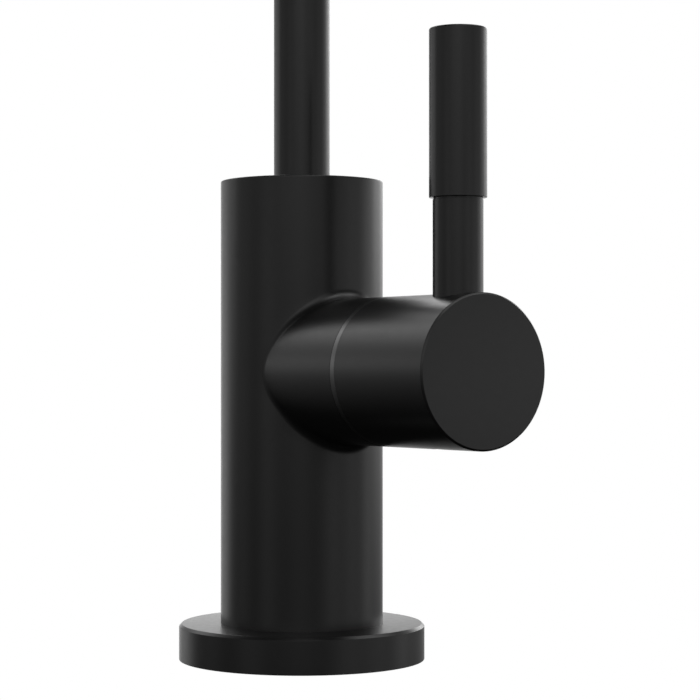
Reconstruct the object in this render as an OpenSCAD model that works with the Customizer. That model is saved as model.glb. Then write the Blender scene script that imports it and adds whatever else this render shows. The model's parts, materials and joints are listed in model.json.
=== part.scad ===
// Deck-mounted drinking water faucet with a swivelling gooseneck spout and a quarter-turn lever.
// All lengths are in millimetres. The deck's top face is z = 0 and the column stands on the Z axis.
// The spout points along -Y, the side barrel runs along +X, and the lever stands upright when shut.

/* [Column] */
// Diameter of the column
column_d = 29; // [28:0.5:40]
// Height of the column's top above the barrel's axis
column_rise = 33.95; // [32:0.05:60]
// Chamfer round the column's top rim
column_edge = 0.2; // [0.2:0.1:1]

/* [Side barrel] */
// Diameter of the side barrel and of the handle hub in line with it
barrel_d = 25.3; // [24:0.1:28]
// Height of the barrel's axis above the deck
barrel_z = 51.3; // [46:0.1:80]
// Distance from the column's axis to the barrel's mouth
barrel_reach = 27.15; // [26:0.05:36]
// Fillet between the column and the barrel
barrel_fillet = 1.8; // [0.5:0.1:2.5]
// Gap between the barrel's mouth and the handle hub
seam_gap = 1.2; // [0.4:0.05:1.5]

/* [Base] */
// Diameter of the base flange
flange_d = 43.9; // [40:0.1:60]
// Thickness of the base flange
flange_t = 6.4; // [5:0.1:10]
// Chamfer round the flange's top rim
flange_edge = 0.5; // [0.2:0.1:1.5]
// Thickness of the deck that the faucet is clamped to
deck_t = 20; // [3:1:32]

/* [Shank] */
// Diameter of the threaded shank
shank_d = 11.1; // [10.5:0.1:12]
// Bore of the shank
shank_bore_d = 6.2; // [5:0.1:6.4]
// Length of the shank and its inlet stub below the deck
shank_drop = 66; // [62:1:90]
// Diameter of the plain inlet stub at the shank's lower end
stub_d = 9.5; // [9:0.1:10]
// Length of the plain inlet stub
stub_len = 20; // [15:1:24]

/* [Handle] */
// Length of the handle hub
hub_len = 23.9; // [22.5:0.1:32]
// Chamfer round the hub's front rim
hub_edge = 0.3; // [0.2:0.1:1]
// Distance from the hub's front face back to the lever's axis
lever_setback = 6.9; // [5.5:0.1:8]
// Diameter of the lever's stem
stem_d = 8.2; // [7.5:0.05:9]
// Height of the grip's lower end above the barrel's axis
grip_rise = 28.1; // [22:0.1:40]
// Diameter of the grip
grip_d = 9.4; // [9:0.1:11]
// Length of the grip
grip_len = 27.3; // [20:0.1:60]
// Rounding of the grip's top rim
grip_edge = 0.3; // [0.2:0.1:1]

/* [Spout] */
// Outer diameter of the spout tube
tube_d = 10; // [8:0.1:10.4]
// Wall of the spout tube
tube_wall = 1; // [0.8:0.1:1.5]
// Distance from the column's axis to the outlet's axis
spout_reach = 130; // [90:1:200]
// Height of the bend's centre above the deck
spout_rise = 220; // [150:1:300]
// Length of the straight leg below the bend's centre
spout_drop = 24; // [16:1:60]
// Outer diameter of the outlet tip
tip_d = 11.6; // [11.4:0.1:14]
// Length of the outlet tip
tip_len = 14; // [12:0.5:24]

/* [Hidden] */
$fn = 96;

// Colours of the finishes
black_coat = "#1d1d1e";
bare_brass = "#b99a52";
bare_steel = "#b4b6b8";
white_ceramic = "#e9e7e0";
black_rubber = "#26262a";
grey_acetal = "#7c7d80";
black_acetal = "#303033";

// Overrun of every cut, and the clearances between pieces
overrun = 1;
seat_fit = 0.02;
turn_fit = 0.15;
disc_fit = 0.3;

// Passages of the column
seat_x = 3;
seat_wall = 2.8;
inlet_bore_d = 4.8;
seat_hole_d = 5.2;
riser_d = 3.8;
passage_inset = 0.1;
shank_socket_depth = 16;
shank_end_gap = 1.5;

// Valve socket of the barrel
valve_bore_d = 17.6;
valve_bore_len = 16;
valve_thread_d = 19.2;

// Spout socket in the column's top
ledge_w = 1;
chamber_h = 2;
bearing_t = 1;
bearing_w = 2.3;
foot_h = 10;
foot_bore_depth = 7;
cap_h = 6.5;
cap_wall = 1;
cap_edge = 0.25;
cap_pin_d = 1.6;
cap_pin_depth = 1.5;
cap_pin_count = 2;

// O-rings: the cord of each, and how much wider its groove is
spout_cord_d = 1.7;
valve_cord_d = 1.5;
spindle_cord_d = 1.15;
foot_cord_d = 1.5;
groove_slack = 0.3;
cord_squeeze = 0.1;

// Base
gasket_t = 1.5;
gasket_w = 7;
gasket_inset = 2.95;
flange_hole_slack = 0.25;
foot_ring_d = 21;

// Pieces under the deck
rubber_washer_d = 32;
rubber_washer_t = 3;
steel_washer_d = 30;
steel_washer_t = 1.5;
washer_slack = 0.3;
nut_flats = 19;
nut_h = 8;
nut_edge = 1;
shank_end_edge = 0.6;
thread_relief_w = 1.5;
thread_relief_depth = 1;

// Cartridge
seal_t = 2;
seal_w = 1.6;
disc_t = 2.5;
disc_d = 12.2;
disc_web_d = 3;
disc_port_d = 8.8;
disc_port_span = 76;
lug_w = 2.8;
slot_w = 3;
slot_depth = 1.3;
tongue_fit = 0.1;
housing_standoff = 0.6;
sleeve_wall = 0.8;
window_w = 4.8;
window_len = 4.4;
land_len = 5;
driver_t = 2.3;
driver_w = 4.8;
washer_t = 0.8;
stop_w = 1.4;
stop_standoff = 0.3;
hex_flats = 17;
hex_t = 4;
hex_standoff = 0.3;
neck_d = 13.2;
neck_len = 3.5;
thread_fit = 0.1;

// Spindle
spindle_d = 8;
ring_land = 3;
clip_t = 0.7;
clip_d = 11.2;
clip_gap = 0.3;
clip_groove_d = 6.4;
clip_mouth_span = 70;
spline_d = 7.5;
spline_root_d = 6.8;
spline_teeth = 20;
spline_len = 10;
spline_lead = 0.5;

// Handle
cavity_wall = 1.95;
cavity_clear = 1;
glide_lip = 0.03;
glide_w = 2.2;
hub_back_edge = 0.1;
spigot_d = 6;
spigot_web = 2.5;
spigot_tip_gap = 0.3;
stem_sink = 0.25;
shadow_gap = 0.3;
shadow_depth = 0.12;
grip_bore_depth = 13;
screw_d = 4;
screw_len = 7;
screw_socket_flats = 2;
screw_socket_depth = 2.5;

// Outlet
tip_seat = 6;
tip_lip_len = 2.5;
tip_lip_d = 8.4;
straightener_t = 3;
straightener_d = 9;
jet_d = 1;
jet_pitch = 1.5;
jet_rings = 2;
jets_per_ring = 6;
tip_edge = 0.3;

// Fillet: sections round it, points across it, and how deep it is rooted
fillet_sections = 48;
fillet_steps = 4;
fillet_root = 0.5;
fillet_sink = 0.03;

// Radii and levels that follow
column_r = column_d / 2;
barrel_r = barrel_d / 2;
column_top_z = barrel_z + column_rise;
shank_r = shank_d / 2;
tube_r = tube_d / 2;
gasket_r = flange_d / 2 - gasket_inset;

inlet_x = seat_x - seat_wall - inlet_bore_d / 2;
riser_x = seat_x + passage_inset + riser_d / 2;
chamber_r = riser_x + riser_d / 2 + passage_inset;
spout_socket_r = chamber_r + ledge_w;
cap_r = spout_socket_r + cap_wall;
cap_z = column_top_z - cap_h;
upper_bearing_z = cap_z - bearing_t;
foot_z = upper_bearing_z - foot_h;
lower_bearing_z = foot_z - bearing_t;
chamber_z = lower_bearing_z - chamber_h;
foot_r = spout_socket_r - disc_fit;

disc_x = seat_x + seal_t;
moving_x = disc_x + disc_t;
driver_x = moving_x + disc_t;
washer_x = driver_x + driver_t;
shoulder_x = washer_x + washer_t + tongue_fit;
stop_x = driver_x + stop_standoff;
valve_step_x = seat_x + valve_bore_len;
housing_x = seat_x + housing_standoff;
chamber_bore_r = disc_d / 2 + disc_fit;
stop_in_r = chamber_bore_r - stop_w;
sleeve_r = chamber_bore_r + sleeve_wall;
housing_land_r = valve_bore_d / 2 - thread_fit;
housing_thread_r = valve_thread_d / 2 - thread_fit;
hex_x = barrel_reach + hex_standoff;
neck_x = hex_x + hex_t;
neck_end_x = neck_x + neck_len;
spindle_bore_r = spindle_d / 2 + thread_fit;
clip_x = neck_end_x + clip_gap;
spline_x = clip_x + clip_t + spline_lead;
spline_end_x = spline_x + spline_len;

hub_x = barrel_reach + seam_gap;
hub_front_x = hub_x + hub_len;
cavity_r = barrel_r - cavity_wall;
cavity_end_x = neck_x + cavity_clear;
throat_r = neck_d / 2 + cavity_clear;
lever_x = hub_front_x - lever_setback;
stem_r = stem_d / 2;
grip_r = grip_d / 2;
spigot_r = spigot_d / 2;
stem_hole_r = stem_r + seat_fit;
stem_z = barrel_z + sqrt(barrel_r * barrel_r - stem_hole_r * stem_hole_r) - stem_sink;
spigot_hole_z = barrel_z + spline_d / 2 + spigot_web;
grip_z = barrel_z + grip_rise;
screw_x = spline_x + spline_len / 2;
screw_top_z = barrel_z - spline_d / 2 - seat_fit;

tube_start_z = foot_z + foot_h - foot_bore_depth;
tube_end_z = spout_rise - spout_drop;
bend_r = spout_reach / 2;
tip_z = tube_end_z - tip_seat;
washer_top_z = -deck_t;
steel_top_z = washer_top_z - rubber_washer_t;
nut_top_z = steel_top_z - steel_washer_t;

// Moves what is drawn upright on the Z axis onto the barrel's axis, with its X towards +Y
module on_barrel(x) {
    translate([x, 0, barrel_z]) rotate([90, 0, 90]) children();
}

module ring(outer_r, inner_r, h) {
    difference() {
        cylinder(r = outer_r, h = h);
        translate([0, 0, -overrun]) cylinder(r = inner_r, h = h + 2 * overrun);
    }
}

module o_ring(centre_r, cord_d) {
    rotate_extrude() translate([centre_r, 0]) circle(d = cord_d);
}

// Groove cut into a round piece from outside, open at its outer radius
module groove(outer_r, floor_r, w) {
    difference() {
        cylinder(r = outer_r + overrun, h = w);
        translate([0, 0, -overrun]) cylinder(r = floor_r, h = w + 2 * overrun);
    }
}

// Round bar with a chamfer at its top rim
module chamfered_bar(r, h, edge) {
    rotate_extrude() polygon([[0, 0], [r, 0], [r, h - edge], [r - edge, h], [0, h]]);
}

// Wedge of a ring, centred on the local Y axis
module ring_sector(inner_r, outer_r, span, h) {
    reach = 2 * outer_r;
    linear_extrude(h) intersection() {
        difference() {
            circle(outer_r);
            circle(inner_r);
        }
        polygon([[0, 0], [reach * sin(span / 2), reach * cos(span / 2)],
            [-reach * sin(span / 2), reach * cos(span / 2)]]);
    }
}

// Fillet between two crossing cylinders: the path and the arc of a ball that rolls round both
function fillet_centre(a) =
    let (y = (barrel_r + barrel_fillet) * sin(a), z = (barrel_r + barrel_fillet) * cos(a),
        reach = column_r + barrel_fillet)
    [sqrt(reach * reach - y * y), y, z];
function on_column(c, r) = [c.x * r / (column_r + barrel_fillet), c.y * r / (column_r + barrel_fillet), c.z];
function on_barrel_skin(c, r) = [c.x, c.y * r / (barrel_r + barrel_fillet), c.z * r / (barrel_r + barrel_fillet)];
function unit(v) = v / norm(v);
function fillet_arc(c, share) =
    let (from = unit(on_column(c, column_r) - c), to = unit(on_barrel_skin(c, barrel_r) - c),
        turn = acos(from * to))
    c + barrel_fillet * (sin((1 - share) * turn) * from + sin(share * turn) * to) / sin(turn);
function fillet_heel(a) =
    let (y = (barrel_r - fillet_root) * sin(a), z = (barrel_r - fillet_root) * cos(a),
        reach = column_r - fillet_root)
    [sqrt(reach * reach - y * y), y, z];
function fillet_section(a) =
    let (c = fillet_centre(a))
    concat([on_column(c, column_r - fillet_sink)],
        [for (i = [1 : fillet_steps - 1]) fillet_arc(c, i / fillet_steps)],
        [on_barrel_skin(c, barrel_r - fillet_sink), fillet_heel(a)]);

module barrel_fillet_ring() {
    sections = [for (i = [0 : fillet_sections - 1]) fillet_section(360 * i / fillet_sections)];
    around = len(sections);
    across = len(sections[0]);
    quads = [for (i = [0 : around - 1], j = [0 : across - 1])
        let (next_i = (i + 1) % around, next_j = (j + 1) % across)
        [i * across + j, next_i * across + j, next_i * across + next_j, i * across + next_j]];
    points = [for (section = sections) each section];
    faces = [for (q = quads) each [[q[0], q[1], q[2]], [q[0], q[2], q[3]]]];
    translate([0, 0, barrel_z]) polyhedron(points, faces);
}

module base_flange() {
    color(black_coat) difference() {
        chamfered_bar(flange_d / 2, flange_t, flange_edge);
        translate([0, 0, -overrun])
            cylinder(r = shank_r + flange_hole_slack, h = flange_t + 2 * overrun);
        translate([0, 0, -overrun])
            ring(gasket_r + seat_fit, gasket_r - gasket_w - seat_fit, gasket_t + overrun);
    }
}

module base_gasket() {
    color(black_rubber) ring(gasket_r, gasket_r - gasket_w, gasket_t);
}

module column() {
    color(black_coat) difference() {
        union() {
            translate([0, 0, flange_t])
                chamfered_bar(column_r, column_top_z - flange_t, column_edge);
            on_barrel(0) cylinder(r = barrel_r, h = barrel_reach);
            barrel_fillet_ring();
        }
        // shank socket, inlet bore and the hole to the valve seat
        translate([0, 0, flange_t - overrun])
            cylinder(r = shank_r + seat_fit, h = shank_socket_depth + overrun);
        translate([inlet_x, 0, flange_t])
            cylinder(d = inlet_bore_d, h = barrel_z - flange_t);
        on_barrel(inlet_x) cylinder(d = seat_hole_d, h = seat_x - inlet_x + overrun);
        // valve socket
        on_barrel(seat_x) cylinder(d = valve_bore_d, h = barrel_reach - seat_x + overrun);
        on_barrel(valve_step_x)
            cylinder(d = valve_thread_d, h = barrel_reach - valve_step_x + overrun);
        // riser, spout socket and cap seat
        translate([riser_x, 0, barrel_z]) cylinder(d = riser_d, h = chamber_z - barrel_z + overrun);
        translate([0, 0, chamber_z]) cylinder(r = chamber_r, h = chamber_h + overrun);
        translate([0, 0, lower_bearing_z])
            cylinder(r = spout_socket_r, h = column_top_z - lower_bearing_z + overrun);
        translate([0, 0, cap_z]) cylinder(r = cap_r, h = cap_h + overrun);
        // groove for the ring under the foot
        translate([0, 0, flange_t - overrun])
            ring(foot_ring_d / 2 + foot_cord_d / 2 + groove_slack / 2,
                foot_ring_d / 2 - foot_cord_d / 2 - groove_slack / 2,
                foot_cord_d + 2 * seat_fit + overrun);
    }
}

module column_o_ring() {
    color(black_rubber) translate([0, 0, flange_t + seat_fit + foot_cord_d / 2])
        o_ring(foot_ring_d / 2, foot_cord_d);
}

module shank() {
    top_z = flange_t + shank_socket_depth - shank_end_gap;
    stub_z = stub_len - shank_drop;
    color(bare_brass) difference() {
        rotate_extrude() polygon([
            [shank_bore_d / 2, -shank_drop],
            [stub_d / 2 - shank_end_edge, -shank_drop],
            [stub_d / 2, shank_end_edge - shank_drop],
            [stub_d / 2, stub_z],
            [shank_r, stub_z],
            [shank_r, top_z - shank_end_edge],
            [shank_r - shank_end_edge, top_z],
            [shank_bore_d / 2, top_z]
        ]);
        translate([0, 0, stub_z + thread_relief_w])
            groove(shank_r, shank_r - thread_relief_depth, thread_relief_w);
    }
}

module deck_rubber_washer() {
    color(black_rubber) translate([0, 0, steel_top_z])
        ring(rubber_washer_d / 2, shank_r + washer_slack, rubber_washer_t);
}

module deck_steel_washer() {
    color(bare_steel) translate([0, 0, nut_top_z])
        ring(steel_washer_d / 2, shank_r + washer_slack, steel_washer_t);
}

module lock_nut() {
    corner_r = nut_flats / 2 / cos(30);
    rim_r = nut_flats / 2;
    color(bare_brass) translate([0, 0, nut_top_z - nut_h]) difference() {
        intersection() {
            cylinder(r = corner_r, h = nut_h, $fn = 6);
            rotate_extrude() polygon([[0, 0], [rim_r, 0], [corner_r, nut_edge],
                [corner_r, nut_h - nut_edge], [rim_r, nut_h], [0, nut_h]]);
        }
        translate([0, 0, -overrun]) cylinder(r = shank_r + seat_fit, h = nut_h + 2 * overrun);
    }
}

// Two lugs, in the quarters that the driver's arms don't sweep, that stop a quarter turn at both ends
module stop_lugs(grow, h) {
    corner = driver_w / 2 + tongue_fit - grow;
    for (turn = [0, 180])
        rotate([0, 0, turn]) linear_extrude(h) difference() {
            translate([corner, corner]) square(sleeve_r);
            circle(stop_in_r - grow);
        }
}

module cartridge_housing() {
    ring_x = valve_step_x - land_len / 2;
    groove_w = valve_cord_d + groove_slack;
    floor_r = valve_bore_d / 2 - valve_cord_d;
    color(bare_brass) difference() {
        union() {
            on_barrel(housing_x) cylinder(r = sleeve_r, h = neck_x - housing_x);
            on_barrel(valve_step_x - land_len) cylinder(r = housing_land_r, h = land_len);
            on_barrel(valve_step_x) cylinder(r = housing_thread_r, h = hex_x - valve_step_x);
            on_barrel(hex_x) intersection() {
                cylinder(r = hex_flats / 2 / cos(30), h = hex_t, $fn = 6);
                chamfered_bar(hex_flats / 2 / cos(30), hex_t, cavity_clear);
            }
            on_barrel(neck_x) cylinder(d = neck_d, h = neck_len);
        }
        difference() {
            on_barrel(housing_x - overrun)
                cylinder(r = chamber_bore_r, h = shoulder_x - housing_x + overrun);
            on_barrel(stop_x) stop_lugs(0, shoulder_x - stop_x + overrun);
        }
        on_barrel(housing_x) cylinder(r = spindle_bore_r, h = neck_end_x - housing_x + overrun);
        on_barrel(ring_x - groove_w / 2) groove(housing_land_r, floor_r, groove_w);
        // two side windows for the water, and two notches that hold the fixed disc
        on_barrel(shoulder_x - window_len)
            translate([-window_w / 2, -sleeve_r - overrun, 0])
                cube([window_w, 2 * (sleeve_r + overrun), window_len]);
        on_barrel(housing_x - overrun)
            translate([-sleeve_r - overrun, -slot_w / 2, 0])
                cube([2 * (sleeve_r + overrun), slot_w, moving_x - housing_x + overrun]);
    }
}

module cartridge_o_ring() {
    color(black_rubber) on_barrel(valve_step_x - land_len / 2)
        o_ring(valve_bore_d / 2 - valve_cord_d / 2, valve_cord_d - cord_squeeze);
}

module seat_seal() {
    color(black_rubber) on_barrel(seat_x)
        ring(disc_d / 2, disc_d / 2 - seal_w, seal_t);
}

// Ceramic disc with two opposed ports on its local Y axis
module ported_disc() {
    difference() {
        cylinder(d = disc_d, h = disc_t);
        for (turn = [0, 180])
            rotate([0, 0, turn]) translate([0, 0, -overrun])
                ring_sector(disc_web_d / 2, disc_port_d / 2, disc_port_span, disc_t + 2 * overrun);
    }
}

module fixed_disc() {
    color(white_ceramic) on_barrel(disc_x) union() {
        ported_disc();
        difference() {
            intersection() {
                translate([-sleeve_r, -lug_w / 2, 0]) cube([2 * sleeve_r, lug_w, disc_t]);
                cylinder(r = sleeve_r - thread_fit, h = disc_t);
            }
            translate([0, 0, -overrun]) cylinder(d = disc_port_d, h = disc_t + 2 * overrun);
        }
    }
}

module moving_disc() {
    color(white_ceramic) on_barrel(moving_x) difference() {
        rotate([0, 0, 90]) ported_disc();
        translate([-slot_w / 2, -disc_d / 2 - overrun, disc_t - slot_depth])
            cube([slot_w, disc_d + 2 * overrun, slot_depth + overrun]);
    }
}

// Star outline of the spline, grown by a clearance
module spline_outline(grow) {
    step = 360 / spline_teeth;
    polygon([for (i = [0 : 2 * spline_teeth - 1])
        let (r = (i % 2 == 0 ? spline_d : spline_root_d) / 2 + grow, a = i * step / 2)
        [r * cos(a), r * sin(a)]]);
}

function spindle_ring_x(i) = shoulder_x + ring_land + i * (spindle_cord_d + groove_slack + ring_land);

module spindle() {
    groove_w = spindle_cord_d + groove_slack;
    tongue_w = slot_w - 2 * tongue_fit;
    tongue_h = slot_depth - tongue_fit;
    color(bare_brass) difference() {
        union() {
            on_barrel(driver_x) intersection() {
                cylinder(d = disc_d, h = driver_t);
                translate([-driver_w / 2, -disc_d / 2, 0]) cube([driver_w, disc_d, driver_t]);
            }
            on_barrel(driver_x - tongue_h) intersection() {
                cylinder(d = disc_d, h = tongue_h + driver_t);
                translate([-tongue_w / 2, -disc_d / 2, 0])
                    cube([tongue_w, disc_d, tongue_h + driver_t]);
            }
            on_barrel(driver_x) cylinder(d = spindle_d, h = spline_x - driver_x);
            on_barrel(spline_x) linear_extrude(spline_len) spline_outline(0);
        }
        for (i = [0, 1])
            on_barrel(spindle_ring_x(i))
                groove(spindle_d / 2, spindle_bore_r - spindle_cord_d, groove_w);
        on_barrel(clip_x) groove(spindle_d / 2, clip_groove_d / 2, clip_t + seat_fit);
    }
}

module spindle_washer() {
    color(grey_acetal) on_barrel(washer_x) difference() {
        ring(disc_d / 2, spindle_bore_r, washer_t);
        translate([0, 0, -overrun]) stop_lugs(tongue_fit, washer_t + 2 * overrun);
    }
}

module spindle_o_rings() {
    groove_w = spindle_cord_d + groove_slack;
    color(black_rubber) for (i = [0, 1])
        on_barrel(spindle_ring_x(i) + groove_w / 2)
            o_ring(spindle_bore_r - spindle_cord_d / 2, spindle_cord_d - cord_squeeze);
}

module spindle_clip() {
    color(bare_steel) on_barrel(clip_x) difference() {
        ring(clip_d / 2, clip_groove_d / 2 + seat_fit, clip_t);
        translate([0, 0, -overrun])
            ring_sector(0, clip_d, clip_mouth_span, clip_t + 2 * overrun);
    }
}

module hub_glide_ring() {
    outer_r = barrel_r - glide_lip;
    color(black_acetal) on_barrel(barrel_reach)
        ring(outer_r, outer_r - glide_w, seam_gap - seat_fit);
}

module handle_hub() {
    color(black_coat) difference() {
        on_barrel(hub_x) rotate_extrude() polygon([
            [0, 0], [barrel_r - hub_back_edge, 0], [barrel_r, hub_back_edge],
            [barrel_r, hub_len - hub_edge], [barrel_r - hub_edge, hub_len], [0, hub_len]
        ]);
        on_barrel(hub_x - overrun) cylinder(r = cavity_r, h = cavity_end_x - hub_x + overrun);
        on_barrel(hub_x) cylinder(r = throat_r, h = spline_x - hub_x);
        on_barrel(spline_x - overrun)
            linear_extrude(spline_len + spline_lead + overrun) spline_outline(seat_fit);
        // lever socket on top, set screw hole underneath
        translate([lever_x, 0, stem_z]) cylinder(r = stem_hole_r, h = barrel_r);
        translate([lever_x, 0, spigot_hole_z])
            cylinder(r = spigot_r + seat_fit, h = stem_z - spigot_hole_z + overrun);
        translate([screw_x, 0, barrel_z - barrel_r - overrun])
            cylinder(r = screw_d / 2 + seat_fit, h = barrel_r + overrun);
    }
}

module hub_set_screw() {
    color(bare_steel) translate([screw_x, 0, screw_top_z - screw_len]) difference() {
        chamfered_bar(screw_d / 2, screw_len, hub_edge);
        translate([0, 0, -overrun])
            cylinder(r = screw_socket_flats / 2 / cos(30), h = screw_socket_depth + overrun, $fn = 6);
    }
}

module lever_stem() {
    foot_z = spigot_hole_z + spigot_tip_gap;
    neck_r = stem_r - shadow_depth;
    neck_z = grip_z - shadow_gap;
    tip_z = grip_z + grip_bore_depth - spigot_tip_gap;
    color(black_coat) translate([lever_x, 0, 0]) rotate_extrude() polygon([
        [0, foot_z], [spigot_r, foot_z], [spigot_r, stem_z], [stem_r, stem_z],
        [stem_r, neck_z], [neck_r, neck_z], [neck_r, grip_z], [spigot_r, grip_z],
        [spigot_r, tip_z], [0, tip_z]
    ]);
}

module lever_grip() {
    color(black_coat) translate([lever_x, 0, grip_z]) difference() {
        rotate_extrude() union() {
            square([grip_r - grip_edge, grip_len]);
            square([grip_r, grip_len - grip_edge]);
            intersection() {
                translate([grip_r - grip_edge, grip_len - grip_edge]) circle(grip_edge);
                square([grip_r, grip_len]);
            }
        }
        translate([0, 0, -overrun])
            cylinder(r = spigot_r + seat_fit, h = grip_bore_depth + overrun);
    }
}

module spout_lower_bearing() {
    outer_r = spout_socket_r - seat_fit;
    color(grey_acetal) translate([0, 0, lower_bearing_z])
        ring(outer_r, outer_r - bearing_w, bearing_t - seat_fit);
}

module spout_upper_bearing() {
    outer_r = spout_socket_r - seat_fit;
    color(grey_acetal) translate([0, 0, upper_bearing_z + seat_fit])
        ring(outer_r, outer_r - bearing_w, bearing_t - seat_fit);
}

module top_cap() {
    pin_ring_r = (cap_r + tube_r) / 2;
    color(black_coat) translate([0, 0, cap_z]) difference() {
        chamfered_bar(cap_r - seat_fit, cap_h, cap_edge);
        translate([0, 0, -overrun]) cylinder(r = tube_r + turn_fit, h = cap_h + 2 * overrun);
        for (i = [0 : cap_pin_count - 1])
            rotate([0, 0, 360 * i / cap_pin_count])
                translate([pin_ring_r, 0, cap_h - cap_pin_depth])
                    cylinder(d = cap_pin_d, h = cap_pin_depth + overrun);
    }
}

function foot_ring_z(i) = foot_z + foot_h * (2 * i + 1) / 4;

module spout_foot() {
    groove_w = spout_cord_d + groove_slack;
    floor_r = spout_socket_r - spout_cord_d - cord_squeeze;
    color(bare_brass) difference() {
        translate([0, 0, foot_z]) chamfered_bar(foot_r, foot_h, cap_edge);
        translate([0, 0, foot_z - overrun])
            cylinder(r = tube_r - tube_wall, h = foot_h + 2 * overrun);
        translate([0, 0, tube_start_z])
            cylinder(r = tube_r + seat_fit, h = foot_bore_depth + overrun);
        for (i = [0, 1])
            translate([0, 0, foot_ring_z(i) - groove_w / 2]) groove(foot_r, floor_r, groove_w);
    }
}

module spout_o_rings() {
    color(black_rubber) for (i = [0, 1])
        translate([0, 0, foot_ring_z(i)])
            o_ring(spout_socket_r - cord_squeeze - spout_cord_d / 2, spout_cord_d - cord_squeeze);
}

// Gooseneck: riser, half-circle bend and down leg, grown or shrunk by its radius
module gooseneck(r, end_run) {
    translate([0, 0, tube_start_z - end_run])
        cylinder(r = r, h = spout_rise - tube_start_z + end_run);
    translate([0, -bend_r, spout_rise]) rotate([90, 0, 90])
        rotate_extrude(angle = 180) translate([bend_r, 0]) circle(r);
    translate([0, -spout_reach, tube_end_z - end_run])
        cylinder(r = r, h = spout_drop + end_run);
}

module spout_tube() {
    color(black_coat) difference() {
        gooseneck(tube_r, 0);
        gooseneck(tube_r - tube_wall, overrun);
    }
}

module outlet_tip() {
    lip_z = tip_lip_len;
    cup_r = straightener_d / 2 + seat_fit;
    color(black_coat) translate([0, -spout_reach, tip_z]) difference() {
        rotate_extrude() polygon([
            [0, 0], [tip_d / 2 - tip_edge, 0], [tip_d / 2, tip_edge],
            [tip_d / 2, tip_len - tip_edge], [tip_d / 2 - tip_edge, tip_len], [0, tip_len]
        ]);
        translate([0, 0, -overrun]) cylinder(d = tip_lip_d, h = tip_len + 2 * overrun);
        translate([0, 0, lip_z]) cylinder(r = cup_r, h = tip_len);
        translate([0, 0, tip_seat]) cylinder(r = tube_r + seat_fit, h = tip_len);
    }
}

module stream_straightener() {
    color(grey_acetal) translate([0, -spout_reach, tip_z + tip_lip_len]) difference() {
        cylinder(d = straightener_d, h = straightener_t);
        translate([0, 0, -overrun]) cylinder(d = jet_d, h = straightener_t + 2 * overrun);
        for (ring_no = [1 : jet_rings], i = [1 : jets_per_ring * ring_no])
            rotate([0, 0, 360 * i / (jets_per_ring * ring_no)])
                translate([jet_pitch * ring_no, 0, -overrun])
                    cylinder(d = jet_d, h = straightener_t + 2 * overrun);
    }
}

base_flange();
base_gasket();
column();
column_o_ring();
shank();
deck_rubber_washer();
deck_steel_washer();
lock_nut();
cartridge_housing();
cartridge_o_ring();
seat_seal();
fixed_disc();
hub_glide_ring();
spout_lower_bearing();
spout_upper_bearing();
top_cap();
moving_disc();
spindle();
spindle_washer();
spindle_o_rings();
spindle_clip();
handle_hub();
hub_set_screw();
lever_stem();
lever_grip();
spout_foot();
spout_o_rings();
spout_tube();
outlet_tip();
stream_straightener();
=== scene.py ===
import json
import math

import bmesh
import bpy
from mathutils import Matrix, Vector


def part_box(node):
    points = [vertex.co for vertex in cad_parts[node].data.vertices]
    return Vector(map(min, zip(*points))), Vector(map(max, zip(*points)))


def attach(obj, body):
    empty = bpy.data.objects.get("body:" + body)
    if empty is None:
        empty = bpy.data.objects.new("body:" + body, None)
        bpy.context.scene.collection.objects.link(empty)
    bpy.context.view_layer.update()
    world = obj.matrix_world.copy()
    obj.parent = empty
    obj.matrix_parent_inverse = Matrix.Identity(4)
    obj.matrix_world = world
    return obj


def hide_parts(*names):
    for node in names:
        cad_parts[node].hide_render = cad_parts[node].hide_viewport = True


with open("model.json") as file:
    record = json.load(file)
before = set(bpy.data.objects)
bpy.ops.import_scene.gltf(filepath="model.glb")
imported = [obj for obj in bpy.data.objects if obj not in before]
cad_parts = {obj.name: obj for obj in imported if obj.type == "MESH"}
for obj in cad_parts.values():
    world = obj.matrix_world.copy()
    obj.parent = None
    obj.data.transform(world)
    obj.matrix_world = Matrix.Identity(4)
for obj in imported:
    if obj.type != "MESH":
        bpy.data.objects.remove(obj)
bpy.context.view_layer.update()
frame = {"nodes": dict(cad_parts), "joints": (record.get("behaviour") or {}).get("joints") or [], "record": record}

# Units, and how fine the round pieces are
MM = 0.001
WELD = 1e-6
COLUMNS = 128
FINE_COLUMNS = COLUMNS * 3 // 2
BORE_COLUMNS = COLUMNS // 2
ARC_STEPS = 5

# The frame's own places: the barrel's axis, and the sizes of the pieces that carry the others
handle_joint = next(j for j in frame["joints"] if j["name"] == "handle_turn")
barrel_z = handle_joint["pos_m"][2]
column_lo, column_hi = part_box("column")
hub_lo, hub_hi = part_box("handle_hub")
tube_lo, tube_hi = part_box("spout_tube")
grip_lo, grip_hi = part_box("lever_grip")
stem_lo, stem_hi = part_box("lever_stem")
column_r = -column_lo.x
barrel_r = (hub_hi.y - hub_lo.y) / 2
lever_x = (stem_lo.x + stem_hi.x) / 2
stem_r = (stem_hi.x - stem_lo.x) / 2
tube_r = tube_hi.y


def radius_of(node):
    """Radius of a round node that stands on its own axis, from its box."""
    lo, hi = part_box(node)
    return (hi.y - lo.y) / 2


def steps(start, end, count):
    """Values at even steps from start to end, with both ends."""
    return [start + (end - start) * i / count for i in range(count + 1)]


# Outlines and solids of revolution

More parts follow.
